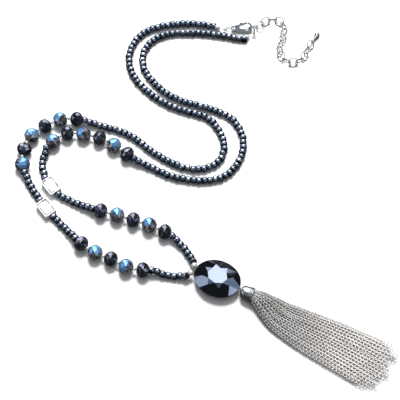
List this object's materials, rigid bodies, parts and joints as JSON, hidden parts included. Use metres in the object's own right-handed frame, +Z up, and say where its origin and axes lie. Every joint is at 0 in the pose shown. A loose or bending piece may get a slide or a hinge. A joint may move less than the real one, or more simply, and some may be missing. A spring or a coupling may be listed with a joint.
{
  "type": "tassel necklace",
  "caption": "Long necklace of seed beads and faceted crystal beads with an oval faceted pendant, a fine chain tassel, a lobster clasp and an extender chain.",
  "frame": {"origin": "middle of the laid-out outline, on the table under the necklace", "axes": "+Z up from the table, +Y from the tassel's end towards the clasp as the necklace lies, +X towards the tassel's side"},
  "size_m": [0.2084, 0.2282, 0.01],
  "materials": {
    "stone": "polished facets, near-black blue",
    "black_crystal": "polished facets, black",
    "blue_crystal": "polished facets with a blue coating",
    "seed_glass": "gloss, dark blue-grey",
    "mirror_bead": "polished, uneven",
    "bead_metal": "polished",
    "cap_metal": "polished",
    "clasp_metal": "polished",
    "tassel_chain": "polished fine chain",
    "thread": "waxed thread"
  },
  "bodies": {
    "necklace": {"pendant_stone": "stone", "pendant_cord": "thread", "tassel_cap": "cap_metal", "tassel_fringe": "tassel_chain", "end_bead_a": "bead_metal", "end_bead_b": "bead_metal", "box_bead_a": "mirror_bead", "box_bead_b": "mirror_bead", "spacers_low_a": "bead_metal", "spacers_up_a": "bead_metal", "spacers_low_b": "bead_metal", "spacers_up_b": "bead_metal", "thread_a": "thread", "thread_b": "thread", "tip_a": "bead_metal", "tip_b": "bead_metal", "clasp_body": "clasp_metal", "clasp_ring": "clasp_metal", "join_ring": "clasp_metal", "hook_ring": "clasp_metal", "extender_chain": "clasp_metal", "extender_drop": "clasp_metal", "seeds_a1": "seed_glass", "seeds_a2": "seed_glass", "seeds_a3": "seed_glass", "seeds_a4": "seed_glass", "seeds_b1": "seed_glass", "seeds_b2": "seed_glass", "seeds_b3": "seed_glass", "seeds_b4": "seed_glass", "crystal_a1": "black_crystal", "crystal_a2": "blue_crystal", "crystal_a3": "black_crystal", "crystal_a4": "blue_crystal", "crystal_a5": "black_crystal", "crystal_a6": "blue_crystal", "crystal_a7": "black_crystal", "crystal_a8": "blue_crystal", "crystal_a9": "black_crystal", "crystal_a10": "blue_crystal", "crystal_a11": "black_crystal", "crystal_b1": "black_crystal", "crystal_b2": "blue_crystal", "crystal_b3": "black_crystal", "crystal_b4": "blue_crystal", "crystal_b5": "black_crystal", "crystal_b6": "blue_crystal", "crystal_b7": "black_crystal", "crystal_b8": "blue_crystal", "crystal_b9": "black_crystal", "crystal_b10": "blue_crystal", "crystal_b11": "black_crystal"},
    "lever": {"clasp_lever": "clasp_metal"}
  },
  "joints": [
    {"name": "lever_turn", "type": "hinge", "parent": "necklace", "child": "lever", "pos_m": [0.0222, 0.10707, 0.00315], "axis": [0.05, -0.5714, 0.8192], "range_deg": [-18, 0], "stiffness_Nm_per_rad": 0.01}
  ]
}
